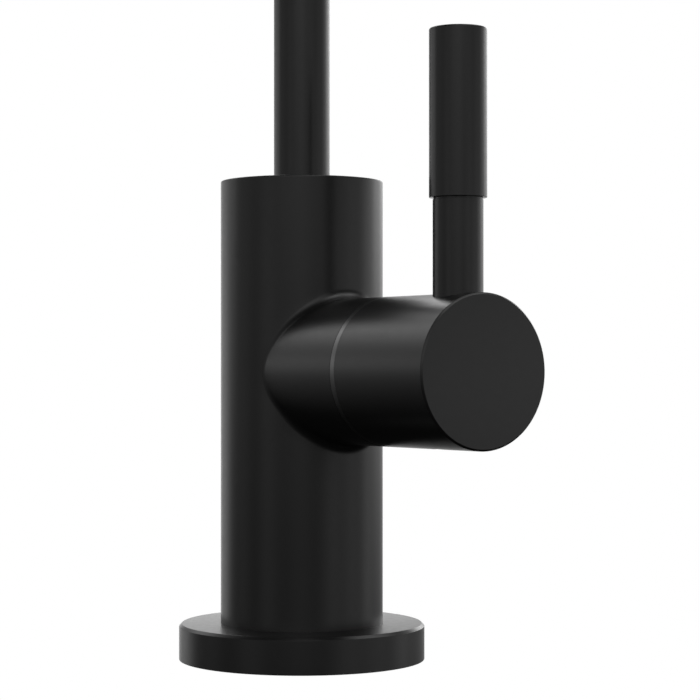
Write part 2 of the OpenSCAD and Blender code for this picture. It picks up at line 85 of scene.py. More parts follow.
def rounded(corners, closed=True):
    """Outline points of (x, y, radius) corners, each with a radius replaced by an arc."""
    outline = []
    for i, (x, y, radius) in enumerate(corners):
        corner = Vector((x, y))
        on_end = not closed and i in (0, len(corners) - 1)
        if radius == 0 or on_end:
            outline.append(corner)
            continue
        back = (Vector(corners[i - 1][:2]) - corner).normalized()
        ahead = (Vector(corners[(i + 1) % len(corners)][:2]) - corner).normalized()
        half = back.angle(ahead) / 2
        centre = corner + (back + ahead).normalized() * radius / math.sin(half)
        start = corner + back * radius / math.tan(half) - centre
        end = corner + ahead * radius / math.tan(half) - centre
        turn = math.pi - 2 * half
        for t in steps(0, 1, ARC_STEPS):
            arc = (math.sin((1 - t) * turn) * start + math.sin(t * turn) * end) / math.sin(turn)
            outline.append(centre + arc)
    return outline


def upright(x=0, y=0, z=0):
    """Places what is drawn round the local Z axis on an upright axis."""
    return Matrix.Translation((x, y, z))


def along_barrel(x=0):
    """Places what is drawn round the local Z axis on the barrel's axis."""
    return Matrix(((0, 0, 1, x), (1, 0, 0, 0), (0, 1, 0, barrel_z), (0, 0, 0, 1)))


def skin(bm, rings):
    """Faces between rings of vertices; a ring of one vertex is a pole."""
    for lower, upper in zip(rings, rings[1:]):
        count = max(len(lower), len(upper))
        for i in range(count):
            j = (i + 1) % count
            low_edge = [lower[i % len(lower)], lower[j % len(lower)]]
            high_edge = [upper[j % len(upper)], upper[i % len(upper)]]
            face = list(dict.fromkeys(low_edge + high_edge))
            if len(face) > 2:
                bm.faces.new(face)


def ring_of(bm, radius, height, columns, place):
    """Ring of vertices round the place's axis, or one vertex where the radius is nothing."""
    if radius < WELD:
        return [bm.verts.new(place @ Vector((0, 0, height)))]
    turns = [2 * math.pi * i / columns for i in range(columns)]
    return [bm.verts.new(place @ Vector((radius * math.cos(a), radius * math.sin(a), height))) for a in turns]


def lathe(bm, outline, place, columns):
    """Solid of revolution of an outline of (radius, height) points, with a bore if it keeps off the axis."""
    rings = [ring_of(bm, r, h, columns, place) for r, h in outline]
    has_bore = min(outline[0][0], outline[-1][0]) > WELD
    skin(bm, rings + rings[:1] if has_bore else rings)


def weld(bm):
    """Joins vertices that lie together, and dissolves edges and faces that have no size left."""
    bmesh.ops.remove_doubles(bm, verts=bm.verts, dist=WELD)
    bmesh.ops.dissolve_degenerate(bm, edges=bm.edges, dist=WELD)


def solid(name, make):
    """Mesh object with what make draws, welded, with its faces turned outwards."""
    bm = bmesh.new()
    make(bm)
    weld(bm)
    bmesh.ops.recalc_face_normals(bm, faces=bm.faces)
    mesh = bpy.data.meshes.new(name)
    bm.to_mesh(mesh)
    bm.free()
    piece = bpy.data.objects.new(name, mesh)
    bpy.context.scene.collection.objects.link(piece)
    return piece


def revolved(name, corners, place, columns=COLUMNS, closed=True):
    return solid(name, lambda bm: lathe(bm, rounded(corners, closed), place, columns))


def turned(name, corners, place, columns=COLUMNS, closed=True):
    """Finished solid of revolution, with the shading of a true round."""
    piece = revolved(name, corners, place, columns, closed)
    smooth(piece)
    true_round(piece, place, *{x for x, y, radius in corners if x > WELD})
    return piece


def bar_cutter(radius, start, end, place, columns=BORE_COLUMNS):
    corners = [(0, start, 0), (radius, start, 0), (radius, end, 0), (0, end, 0)]
    return revolved("cutter", corners, place, columns, closed=False)


def groove_cutter(outer, inner, start, end, place):
    corners = [(inner, start, 0), (outer, start, 0), (outer, end, 0), (inner, end, 0)]
    return revolved("cutter", corners, place)


def cut(piece, cutters):
    """Takes each cutter out of the piece with booleans that keep it closed, then removes the cutters."""
    for cutter in cutters:
        boolean = piece.modifiers.new("cut", "BOOLEAN")
        boolean.operation = "DIFFERENCE"
        boolean.solver = "MANIFOLD"
        boolean.object = cutter
    bpy.context.view_layer.update()
    evaluated = piece.evaluated_get(bpy.context.evaluated_depsgraph_get())
    mesh = bpy.data.meshes.new_from_object(evaluated)
    piece.modifiers.clear()
    bm = bmesh.new()
    bm.from_mesh(mesh)
    weld(bm)
    bm.to_mesh(mesh)
    bm.free()
    piece.data = mesh
    for cutter in cutters:
        bpy.data.objects.remove(cutter)


# Screw thread: height and depth along its profile, as shares of the pitch and of the thread's depth
THREAD_SHARES = ((0, 0), (0.125, 0), (0.3, 0.5), (0.48, 1), (0.65, 1), (0.82, 0.5))
THREAD_DEPTH_SHARE = 0.61


def thread_depth_share(turn):
    """Depth of the profile at a share of the pitch, as a share of the thread's depth."""
    turn %= 1
    points = THREAD_SHARES + ((1, 0),)
    for (start, depth), (end, next_depth) in zip(points, points[1:]):
        if turn <= end:
            break
    return depth + (next_depth - depth) * (turn - start) / (end - start)


def thread_skin(bm, r, pitch, low, high, place, columns):
    """Helical thread between two heights, run out to its root at both ends; returns its end rings."""
    root = r - THREAD_DEPTH_SHARE * pitch
    rows = len(THREAD_SHARES)
    count = (math.ceil((high - low) / pitch) + 2) * rows

    def vertex(column, row):
        rise = row // rows + THREAD_SHARES[row % rows][0] + column / columns - 1
        z = min(max(low + rise * pitch, low), high)
        profile = r - (r - root) * thread_depth_share((z - low) / pitch - column / columns)
        radius = max(root, min(profile, root + (high - z), root + (z - low)))
        a = 2 * math.pi * column / columns
        return bm.verts.new(place @ Vector((radius * math.cos(a), radius * math.sin(a), z)))

    grid = [[vertex(column, row) for row in range(count)] for column in range(columns)]
    grid.append(grid[0][rows:])
    for left, right in zip(grid, grid[1:]):
        for i in range(min(len(left), len(right)) - 1):
            bm.faces.new((left[i], right[i], right[i + 1], left[i + 1]))
    return [column[0] for column in grid[:-1]], [column[-1] for column in grid[:-1]]


# Shading: edges sharper than SMOOTH_ANGLE stay sharp. A face counts as part of a round if its corners are
# within ON_ROUND of it, and if no more than ALONG_AXIS of its unit normal points along the round's axis.
SMOOTH_ANGLE = math.radians(32)
ON_ROUND = 5 * WELD
ALONG_AXIS = 0.1


def smooth(piece):
    piece.data.polygons.foreach_set("use_smooth", [True] * len(piece.data.polygons))
    piece.data.set_sharp_from_angle(angle=SMOOTH_ANGLE)


def true_round(piece, place, *radii):
    """Gives the faces on cylinders of those radii round the place's axis the cylinders' own normals."""
    mesh = piece.data
    inverse = place.inverted()
    turn, unturn = place.to_3x3(), inverse.to_3x3()
    normals = [Vector(corner.vector) for corner in mesh.corner_normals]
    for face in mesh.polygons:
        local = [(inverse @ mesh.vertices[v].co).xy for v in face.vertices]
        facing = unturn @ face.normal
        on_one = any(all(abs(p.length - r) < ON_ROUND for p in local) for r in radii)
        if not on_one or abs(facing.z) > ALONG_AXIS:
            continue
        for loop, p in zip(face.loop_indices, local):
            side = 1 if facing.xy.dot(p) > 0 else -1
            normals[loop] = turn @ Vector((p.x, p.y, 0)).normalized() * side
    mesh.normals_split_custom_set(normals)


# Materials: noises in the object's own coordinates drive colour, roughness and bump. NOISE_LOW to NOISE_HIGH
# is the middle range that a noise keeps to, and is spread over all that the material varies.
NOISE_LOW = 0.3
NOISE_HIGH = 0.7


def new_material(name, metallic, roughness, ior):
    material = bpy.data.materials.new(name)
    material.use_nodes = True
    shader = material.node_tree.nodes["Principled BSDF"]
    shader.inputs["Metallic"].default_value = metallic
    shader.inputs["Roughness"].default_value = roughness
    shader.inputs["IOR"].default_value = ior
    return material, material.node_tree, shader


def noise(tree, scale, detail=2, stretch=(1, 1, 1)):
    """Noise in the object's own coordinates; stretch above 1 packs it closer along that axis."""
    place = tree.nodes.new("ShaderNodeTexCoord")
    mapping = tree.nodes.new("ShaderNodeMapping")
    texture = tree.nodes.new("ShaderNodeTexNoise")
    mapping.inputs["Scale"].default_value = stretch
    texture.inputs["Scale"].default_value = scale
    texture.inputs["Detail"].default_value = detail
    tree.links.new(place.outputs["Object"], mapping.inputs["Vector"])
    tree.links.new(mapping.outputs["Vector"], texture.inputs["Vector"])
    return texture.outputs["Fac"]


def spread(tree, value, low, high):
    """Maps a noise's middle range to low..high."""
    node = tree.nodes.new("ShaderNodeMapRange")
    numbers = {"From Min": NOISE_LOW, "From Max": NOISE_HIGH, "To Min": low, "To Max": high}
    for socket, number in numbers.items():
        node.inputs[socket].default_value = number
    tree.links.new(value, node.inputs["Value"])
    return node.outputs["Result"]


def vary_colour(tree, shader, value, dark, light):
    """Lets a noise carry the colour from dark to light."""
    node = tree.nodes.new("ShaderNodeMix")
    node.data_type = "RGBA"
    node.inputs["A"].default_value = (*dark, 1)
    node.inputs["B"].default_value = (*light, 1)
    tree.links.new(spread(tree, value, 0, 1), node.inputs["Factor"])
    tree.links.new(node.outputs["Result"], shader.inputs["Base Color"])


def vary_roughness(tree, shader, value, low, high):
    tree.links.new(spread(tree, value, low, high), shader.inputs["Roughness"])


def bump(tree, shader, height, strength, distance):
    node = tree.nodes.new("ShaderNodeBump")
    node.inputs["Strength"].default_value = strength
    node.inputs["Distance"].default_value = distance
    tree.links.new(height, node.inputs["Height"])
    tree.links.new(node.outputs["Normal"], shader.inputs["Normal"])


def black_coat():
    """Satin powder coat: near-black, with a fine orange-peel skin and faintly uneven gloss."""
    material, tree, shader = new_material("black_coat", metallic=0, roughness=0.31, ior=1.5)
    cloud = noise(tree, scale=70, detail=3)
    speckle = noise(tree, scale=900)
    grain = noise(tree, scale=2600)
    vary_colour(tree, shader, cloud, dark=(0.011, 0.011, 0.011), light=(0.013, 0.013, 0.013))
    vary_roughness(tree, shader, speckle, low=0.295, high=0.325)
    bump(tree, shader, grain, strength=0.12, distance=0.02 * MM)
    return material


def machined(name, dark, light, roughness):
    """Turned bare metal: fine rings of tool marks over a slow stain of colour."""
    material, tree, shader = new_material(name, metallic=1, roughness=roughness, ior=1.5)
    stain = noise(tree, scale=120, detail=4)
    marks = noise(tree, scale=60, stretch=(1, 1, 120))
    vary_colour(tree, shader, stain, dark, light)
    vary_roughness(tree, shader, marks, low=roughness - 0.06, high=roughness + 0.08)
    bump(tree, shader, marks, strength=0.1, distance=0.02 * MM)
    return material


def rubber():
    """Moulded rubber: matt black with a faint grey bloom and a fine grain."""
    material, tree, shader = new_material("rubber", metallic=0, roughness=0.62, ior=1.5)
    bloom = noise(tree, scale=150, detail=4)
    grain = noise(tree, scale=3000)
    vary_colour(tree, shader, bloom, dark=(0.016, 0.016, 0.017), light=(0.03, 0.03, 0.032))
    vary_roughness(tree, shader, bloom, low=0.55, high=0.7)
    bump(tree, shader, grain, strength=0.2, distance=0.03 * MM)
    return material


def acetal():
    """Moulded grey plastic, with a skin as fine as its mould's."""
    material, tree, shader = new_material("acetal", metallic=0, roughness=0.42, ior=1.48)
    cloud = noise(tree, scale=200, detail=3)
    grain = noise(tree, scale=4000)
    vary_colour(tree, shader, cloud, dark=(0.2, 0.2, 0.205), light=(0.24, 0.24, 0.245))
    vary_roughness(tree, shader, grain, low=0.38, high=0.46)
    bump(tree, shader, grain, strength=0.08, distance=0.02 * MM)
    return material


def black_acetal():
    """Turned glide ring: fine tool rings, as satin as the coat but a stronger mirror."""
    material, tree, shader = new_material("black_acetal", metallic=0, roughness=0.3, ior=2.05)
    cloud = noise(tree, scale=300)
    marks = noise(tree, scale=900, stretch=(6, 1, 1))
    vary_colour(tree, shader, cloud, dark=(0.012, 0.012, 0.0125), light=(0.016, 0.016, 0.0165))
    vary_roughness(tree, shader, marks, low=0.28, high=0.32)
    return material


def ceramic():
    """Lapped white disc: even, with fine specks and a soft polish."""
    material, tree, shader = new_material("ceramic", metallic=0, roughness=0.22, ior=1.7)
    speck = noise(tree, scale=5000)
    polish = noise(tree, scale=300)
    vary_colour(tree, shader, speck, dark=(0.78, 0.76, 0.71), light=(0.86, 0.84, 0.8))
    vary_roughness(tree, shader, polish, low=0.18, high=0.27)
    return material


materials = {
    "black_coat": black_coat(),
    "brass": machined("brass", dark=(0.62, 0.42, 0.16), light=(0.76, 0.55, 0.24), roughness=0.28),
    "steel": machined("steel", dark=(0.5, 0.5, 0.51), light=(0.62, 0.62, 0.63), roughness=0.3),
    "rubber": rubber(),
    "acetal": acetal(),
    "black_acetal": black_acetal(),
    "ceramic": ceramic(),
}


def dress(piece, slot_name, body, *nodes):
    """Gives a new piece its material, its body and the nodes that it stands for."""
    piece.data.materials.clear()
    piece.data.materials.append(materials[slot_name])
    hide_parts(*nodes)
    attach(piece, body)


# Column and barrel root, in one sheet of quads with a rolling-ball fillet between them. The column's +X side
# has an open patch from which the barrel grows. BARREL_SPAN is about the angle from the middle of that patch
# to the barrel's side.
FILLET_R = 1.8 * MM
PATCH_HALF = 20 * MM
PATCH_ROWS = 32
PATCH_STEPS = 10
FILLET_STEPS = 12
BARREL_STEPS = 8
UPPER_STEPS = 4
LOWER_STEPS = 8
QUARTER = COLUMNS // 4
BARREL_SPAN = math.radians(60)
COLUMN_EDGE = 0.2 * MM
MOUTH_EDGE = 0.03 * MM
patch_heights = steps(-PATCH_HALF, PATCH_HALF, PATCH_ROWS)


def fillet_centre(a):
    """Centre of the ball that touches both cylinders, at angle a round the barrel's axis."""
    y = (barrel_r + FILLET_R) * math.sin(a)
    z = (barrel_r + FILLET_R) * math.cos(a)
    return Vector((math.sqrt((column_r + FILLET_R) ** 2 - y * y), y, z))


def touch_column(a):
    c = fillet_centre(a)
    share = column_r / (column_r + FILLET_R)
    return Vector((c.x * share, c.y * share, c.z))


def touch_barrel(a):
    c = fillet_centre(a)
    share = barrel_r / (barrel_r + FILLET_R)
    return Vector((c.x, c.y * share, c.z * share))


def fillet_point(a, t):
    """Point on the ball, a share t of the way from the column to the barrel."""
    c = fillet_centre(a)
    start, end = touch_column(a) - c, touch_barrel(a) - c
    turn = start.angle(end)
    return c + (math.sin((1 - t) * turn) * start + math.sin(t * turn) * end) / math.sin(turn)


def on_column(theta, height):
    return Vector((column_r * math.cos(theta), column_r * math.sin(theta), height))


def on_barrel(a, x, r=barrel_r):
    return Vector((x, r * math.sin(a), r * math.cos(a)))


def patch_border():
    """Column and row numbers round the patch, clockwise from its top."""
    top = [(j, PATCH_ROWS) for j in range(0, QUARTER)]
    right = [(QUARTER, k) for k in range(PATCH_ROWS, 0, -1)]
    bottom = [(j, 0) for j in range(QUARTER, -QUARTER, -1)]
    left = [(-QUARTER, k) for k in range(0, PATCH_ROWS)]
    return top + right + bottom + left + [(j, PATCH_ROWS) for j in range(-QUARTER, 0)]


def border_angle(j, height):
    """Angle round the barrel's axis that a place on the patch's border belongs to."""
    side = 2 * math.pi * j / COLUMNS / BARREL_SPAN
    return math.atan2(side, height / (barrel_r + FILLET_R))


def patch_point(j, height, a, t):
    """Point on the column, a share t of the way from a place on the border to the fillet's edge."""
    inner = touch_column(a)
    theta = (1 - t) * 2 * math.pi * j / COLUMNS + t * math.atan2(inner.y, inner.x)
    return on_column(theta, (1 - t) * height + t * inner.z)


def barrel_vertex(bm, point):
    """Vertex at a point whose height is given from the barrel's axis."""
    return bm.verts.new(point + Vector((0, 0, barrel_z)))


def column_grid(bm):
    """Vertices round the column beside the barrel, by column and row, with faces all round but the patch."""
    grid = {}
    for j in range(COLUMNS):
        in_patch = j < QUARTER or j > COLUMNS - QUARTER
        for k, height in enumerate(patch_heights):
            if not in_patch or k in (0, PATCH_ROWS):
                grid[j, k] = barrel_vertex(bm, on_column(2 * math.pi * j / COLUMNS, height))
    for j in range(QUARTER, COLUMNS - QUARTER):
        for k in range(PATCH_ROWS):
            bm.faces.new((grid[j, k], grid[j + 1, k], grid[j + 1, k + 1], grid[j, k + 1]))
    return grid


def column_ends(bm, grid):
    """Skin from the grid's top and bottom rows to the middle of the column's two end faces."""
    low, high = column_lo.z - barrel_z, column_hi.z - barrel_z
    rim_z = high - 2 * COLUMN_EDGE
    upper = [(column_r, z) for z in steps(PATCH_HALF, rim_z, UPPER_STEPS)[1:]]
    lower = [(column_r, z) for z in steps(-PATCH_HALF, low, LOWER_STEPS)[1:]]
    rim = rounded([(column_r, 0, 0), (column_r, high, COLUMN_EDGE), (0, high, 0)], closed=False)[1:]
    for row, outline in ((PATCH_ROWS, upper + rim), (0, lower + [(0, low)])):
        rings = [[grid[j, row] for j in range(COLUMNS)]]
        rings += [ring_of(bm, r, z, COLUMNS, upright(z=barrel_z)) for r, z in outline]
        skin(bm, rings)


def barrel_root(bm, grid):
    """Skin from the patch's border over column, fillet and barrel to the middle of the barrel's end face."""
    border = patch_border()
    angles = [border_angle(j, patch_heights[k]) for j, k in border]
    rings = [[grid[j % COLUMNS, k] for j, k in border]]
    for t in steps(0, 1, PATCH_STEPS)[1:-1]:
        points = [patch_point(j, patch_heights[k], a, t) for (j, k), a in zip(border, angles)]
        rings.append([barrel_vertex(bm, point) for point in points])
    for t in steps(0, 1, FILLET_STEPS):
        rings.append([barrel_vertex(bm, fillet_point(a, t)) for a in angles])
    end_x = column_hi.x
    straight_x = end_x - 2 * MOUTH_EDGE
    for t in steps(0, 1, BARREL_STEPS)[1:]:
        points = [on_barrel(a, (1 - t) * touch_barrel(a).x + t * straight_x) for a in angles]
        rings.append([barrel_vertex(bm, point) for point in points])
    mouth = rounded([(barrel_r, 0, 0), (barrel_r, end_x, MOUTH_EDGE), (0, end_x, 0)], closed=False)
    for r, x in mouth[1:-1]:
        rings.append([barrel_vertex(bm, on_barrel(a, x, r)) for a in angles])
    rings.append([barrel_vertex(bm, Vector((end_x, 0, 0)))])
    skin(bm, rings)


def column_skin(bm):
    grid = column_grid(bm)
    column_ends(bm, grid)
    barrel_root(bm, grid)


# Passages of the column, as in the solids
SEAT_X = 3 * MM
INLET_BORE_R = 2.4 * MM
SEAT_HOLE_R = 2.6 * MM
INLET_X = -2.2 * MM
RISER_R = 1.9 * MM
RISER_X = 5 * MM
CHAMBER_R = 7 * MM
CHAMBER_H = 2 * MM
VALVE_BORE_R = 8.8 * MM
VALVE_STEP_X = 19 * MM
VALVE_THREAD_R = 9.6 * MM
SHANK_SOCKET = 16 * MM
GROOVE_SLACK = 0.3 * MM
SEAT_FIT = 0.02 * MM
OVERRUN = 1 * MM


def make_column():
    column = solid("column_body", column_skin)
    cap_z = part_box("top_cap")[0].z
    bearing_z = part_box("spout_lower_bearing")[0].z
    ring_lo, ring_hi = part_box("column_o_ring")
    groove_r = radius_of("column_o_ring") + GROOVE_SLACK / 2
    groove_w = ring_hi.z - ring_lo.z + GROOVE_SLACK
    top, bottom, mouth = column_hi.z + OVERRUN, column_lo.z - OVERRUN, column_hi.x + OVERRUN
    chamber_z = bearing_z - CHAMBER_H
    shank_z = column_lo.z + SHANK_SOCKET
    inlet_z = column_lo.z + SHANK_SOCKET / 2
    cut(column, [
        groove_cutter(groove_r, groove_r - groove_w, bottom, ring_hi.z + SEAT_FIT, upright()),
        bar_cutter(radius_of("top_cap") + SEAT_FIT, cap_z, top, upright()),
        bar_cutter(radius_of("spout_lower_bearing") + SEAT_FIT, bearing_z, top, upright()),
        bar_cutter(CHAMBER_R, chamber_z, bearing_z + OVERRUN, upright()),
        bar_cutter(RISER_R, barrel_z, chamber_z + OVERRUN, upright(RISER_X)),
        bar_cutter(VALVE_BORE_R, SEAT_X, mouth, along_barrel()),
        bar_cutter(VALVE_THREAD_R, VALVE_STEP_X, mouth, along_barrel()),
        bar_cutter(SEAT_HOLE_R, INLET_X, SEAT_X + OVERRUN, along_barrel()),
        bar_cutter(INLET_BORE_R, inlet_z, barrel_z, upright(INLET_X)),
        bar_cutter(radius_of("shank") + SEAT_FIT, bottom, shank_z, upright()),
    ])
    return column


# Base flange: rim, gasket groove and shank hole
FLANGE_EDGE = 0.5 * MM
FLANGE_SOFT = 0.08 * MM
FLANGE_HOLE_SLACK = 0.25 * MM
GASKET_IN_R = 12 * MM


def make_flange():
    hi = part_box("base_flange")[1]
    hole = radius_of("shank") + FLANGE_HOLE_SLACK
    groove_out, groove_top = radius_of("base_gasket") + SEAT_FIT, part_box("base_gasket")[1].z
    groove_in = GASKET_IN_R - SEAT_FIT
    corners = [
        (hole, 0, 0), (groove_in, 0, 0), (groove_in, groove_top, 0), (groove_out, groove_top, 0),
        (groove_out, 0, 0), (hi.x, 0, FLANGE_SOFT), (hi.x, hi.z - FLANGE_EDGE, FLANGE_SOFT),
        (hi.x - FLANGE_EDGE, hi.z, FLANGE_SOFT), (hole, hi.z, 0),
    ]
    return turned("flange_ring", corners, upright(), FINE_COLUMNS)


# Fixing: threaded shank, washers and nut under the deck
SHANK_PITCH = 1.27 * MM
SHANK_COLUMNS = 64
SHANK_BORE_R = 3.1 * MM
STUB_R = 4.75 * MM
STUB_LEN = 20 * MM
STUB_EDGE = 0.6 * MM
RELIEF_W = 1.5 * MM
RELIEF_DEPTH = 1 * MM
LAND_EDGE = 0.4 * MM


def make_shank():
    lo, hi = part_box("shank")
    r = radius_of("shank")
    stub_z = lo.z + STUB_LEN
    relief_z = stub_z + RELIEF_W
    thread_z = relief_z + RELIEF_W

    def make(bm):
        low_ring, high_ring = thread_skin(bm, r, SHANK_PITCH, thread_z, hi.z, upright(), SHANK_COLUMNS)
        outline = [
            (SHANK_BORE_R, hi.z, 0), (SHANK_BORE_R, lo.z, STUB_EDGE / 2), (STUB_R, lo.z, STUB_EDGE),
            (STUB_R, stub_z, 0), (r, stub_z, LAND_EDGE), (r, relief_z, LAND_EDGE),
            (r - RELIEF_DEPTH, relief_z, 0), (r - RELIEF_DEPTH, thread_z, 0),
        ]
        rings = [ring_of(bm, x, z, SHANK_COLUMNS, upright()) for x, z in rounded(outline, closed=False)]
        skin(bm, [high_ring] + rings + [low_ring])
    return solid("threaded_shank", make)


NUT_RIM_EDGE = 1 * MM
NUT_BORE_EDGE = 0.5 * MM
NUT_COLUMNS = 96
HEX_SECTOR = math.pi / 3


def hexagon_reach(flat_r, a):
    """Distance from a hexagon's middle to its edge, at angle a from the middle of a flat."""
    return flat_r / math.cos((a + HEX_SECTOR / 2) % HEX_SECTOR - HEX_SECTOR / 2)


def make_nut():
    """Hexagon whose corners are turned down at both rims, with a bore eased at both ends."""
    lo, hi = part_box("lock_nut")
    corner_r = (hi.x - lo.x) / 2
    flat_r = corner_r * math.cos(HEX_SECTOR / 2)
    bore = radius_of("shank") + SEAT_FIT

    def make(bm):
        def rim_ring(hexagon, from_top):
            """Hexagon that falls away towards its corners, or the round inside it on the end face."""
            ring = []
            for i in range(NUT_COLUMNS):
                a = 2 * math.pi * i / NUT_COLUMNS
                r = hexagon_reach(flat_r, a) if hexagon else flat_r
                fall = NUT_RIM_EDGE * (r - flat_r) / (corner_r - flat_r)
                z = hi.z - fall if from_top else lo.z + fall
                ring.append(bm.verts.new((r * math.cos(a), r * math.sin(a), z)))
            return ring

        outer = [rim_ring(False, False), rim_ring(True, False), rim_ring(True, True), rim_ring(False, True)]
        inner = [ring_of(bm, r, z, NUT_COLUMNS, upright()) for r, z in (
            (bore + NUT_BORE_EDGE, hi.z), (bore, hi.z - NUT_BORE_EDGE),
            (bore, lo.z + NUT_BORE_EDGE), (bore + NUT_BORE_EDGE, lo.z))]
        skin(bm, outer + inner + outer[:1])
    return solid("hex_nut", make)


WASHER_SLACK = 0.3 * MM
STEEL_WASHER_EDGE = 0.25 * MM
RUBBER_WASHER_EDGE = 0.6 * MM


def make_washer(name, node, edge):
    lo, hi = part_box(node)
    bore = radius_of("shank") + WASHER_SLACK
    r = radius_of(node)
    corners = [(bore, lo.z, edge / 2), (r, lo.z, edge), (r, hi.z, edge), (bore, hi.z, edge / 2)]
    return turned(name, corners, upright())


# Handle hub: shell with a spline, the lever's socket on top and the set screw's hole underneath. The stem
# sits in the socket, and its spigot reaches down through the wall.
HUB_EDGE = 0.3 * MM
HUB_SOFT = 0.08 * MM
HUB_BACK_EDGE = 0.08 * MM
CAVITY_WALL = 1.95 * MM
NECK_LEN = 3.5 * MM
NECK_CLEAR = 1 * MM
THROAT_R = 7.6 * MM
SPLINE_LEN = 10 * MM
SPLINE_LEAD = 0.5 * MM
SPLINE_R = 3.75 * MM
SPLINE_ROOT_R = 3.4 * MM
SPLINE_TEETH = 20
SPIGOT_R = 3 * MM
SPIGOT_TIP_GAP = 0.3 * MM
SOCKET_DEPTH = 0.94 * MM
SCREW_R = 2 * MM
socket_z = barrel_z + barrel_r - SOCKET_DEPTH


def star_cutter(start, end):
    """Star-shaped bar that leaves the spline's teeth in the hub."""
    def make(bm):
        rings = []
        for x in (start, end):
            ring = []
            for i in range(2 * SPLINE_TEETH):
                r = (SPLINE_R if i % 2 == 0 else SPLINE_ROOT_R) + SEAT_FIT
                a = math.pi * i / SPLINE_TEETH
                ring.append(bm.verts.new(along_barrel(x) @ Vector((r * math.cos(a), r * math.sin(a), 0))))
            rings.append(ring)
        skin(bm, rings)
        bm.faces.new(rings[0])
        bm.faces.new(rings[1])
    return solid("cutter", make)


def make_hub():
    back, front = hub_lo.x, hub_hi.x
    cavity_r = barrel_r - CAVITY_WALL
    cavity_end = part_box("cartridge_housing")[1].x - NECK_LEN + NECK_CLEAR
    spline_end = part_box("spindle")[1].x
    spline_start = spline_end - SPLINE_LEN
    bore_end = spline_end + SPLINE_LEAD
    corners = [
        (0, bore_end, 0), (SPLINE_ROOT_R, bore_end, 0), (SPLINE_ROOT_R, spline_start, 0),
        (THROAT_R, spline_start, 0), (THROAT_R, cavity_end, 0), (cavity_r, cavity_end, 0),
        (cavity_r, back, 0), (barrel_r, back, HUB_BACK_EDGE), (barrel_r, front - HUB_EDGE, HUB_SOFT),
        (barrel_r - HUB_EDGE, front, HUB_SOFT), (0, front, 0),
    ]
    hub = revolved("hub_shell", corners, along_barrel(), FINE_COLUMNS, closed=False)
    screw_x = sum(corner.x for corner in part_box("hub_set_screw")) / 2
    top, bottom = barrel_z + barrel_r + OVERRUN, barrel_z - barrel_r - OVERRUN
    cut(hub, [
        star_cutter(spline_start - OVERRUN, bore_end),
        bar_cutter(stem_r + SEAT_FIT, socket_z, top, upright(lever_x)),
        bar_cutter(SPIGOT_R + SEAT_FIT, stem_lo.z - SPIGOT_TIP_GAP, socket_z + OVERRUN, upright(lever_x)),
        bar_cutter(SCREW_R + SEAT_FIT, bottom, barrel_z, upright(screw_x)),
    ])
    smooth(hub)
    true_round(hub, along_barrel(), barrel_r)
    return hub


# Set screw in the hub's underside: thread, run-out ends and a hexagon socket
SCREW_PITCH = 0.7 * MM
SCREW_SOCKET_FLATS = 2 * MM
SCREW_SOCKET_DEPTH = 2.5 * MM
SCREW_SOCKET_SIDES = 6
SCREW_COLUMNS = 48


def make_set_screw():
    lo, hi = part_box("hub_set_screw")
    x = (lo.x + hi.x) / 2

    def make(bm):
        low_ring, high_ring = thread_skin(bm, SCREW_R, SCREW_PITCH, lo.z, hi.z, upright(x), SCREW_COLUMNS)
        skin(bm, [[bm.verts.new((x, 0, lo.z))], low_ring])
        skin(bm, [high_ring, [bm.verts.new((x, 0, hi.z))]])
    screw = solid("set_screw", make)
    corner_r = SCREW_SOCKET_FLATS / 2 / math.cos(math.pi / SCREW_SOCKET_SIDES)
    socket_top = lo.z + SCREW_SOCKET_DEPTH
    cut(screw, [bar_cutter(corner_r, lo.z - OVERRUN, socket_top, upright(x), SCREW_SOCKET_SIDES)])
    return screw


# Lever: stem with a shadow gap under the grip
GRIP_EDGE = 0.3 * MM
GRIP_FOOT_EDGE = 0.06 * MM
GRIP_BORE = 13 * MM
SHADOW_GAP = 0.3 * MM
SHADOW_DEPTH = 0.12 * MM


def make_stem():
    neck_r, neck_z = stem_r - SHADOW_DEPTH, grip_lo.z - SHADOW_GAP
    corners = [
        (0, stem_lo.z, 0), (SPIGOT_R, stem_lo.z, 0), (SPIGOT_R, socket_z, 0), (stem_r, socket_z, 0),
        (stem_r, neck_z, GRIP_FOOT_EDGE / 2), (neck_r, neck_z, 0), (neck_r, grip_lo.z, 0),
        (SPIGOT_R, grip_lo.z, 0), (SPIGOT_R, stem_hi.z, 0), (0, stem_hi.z, 0),
    ]
    return turned("lever_rod", corners, upright(lever_x), closed=False)


def make_grip():
    r = (grip_hi.x - grip_lo.x) / 2
    bore_z = grip_lo.z + GRIP_BORE
    corners = [
        (0, bore_z, 0), (SPIGOT_R + SEAT_FIT, bore_z, 0), (SPIGOT_R + SEAT_FIT, grip_lo.z, 0),
        (r, grip_lo.z, GRIP_FOOT_EDGE), (r, grip_hi.z, GRIP_EDGE), (0, grip_hi.z, 0),
    ]
    return turned("lever_sleeve", corners, upright(lever_x), closed=False)


# Spout: gooseneck tube, outlet tip and the cap round the tube
TUBE_WALL = 1 * MM
TIP_SEAT = 6 * MM
BEND_STEPS = 72
LEG_STEPS = 6
TUBE_COLUMNS = 96


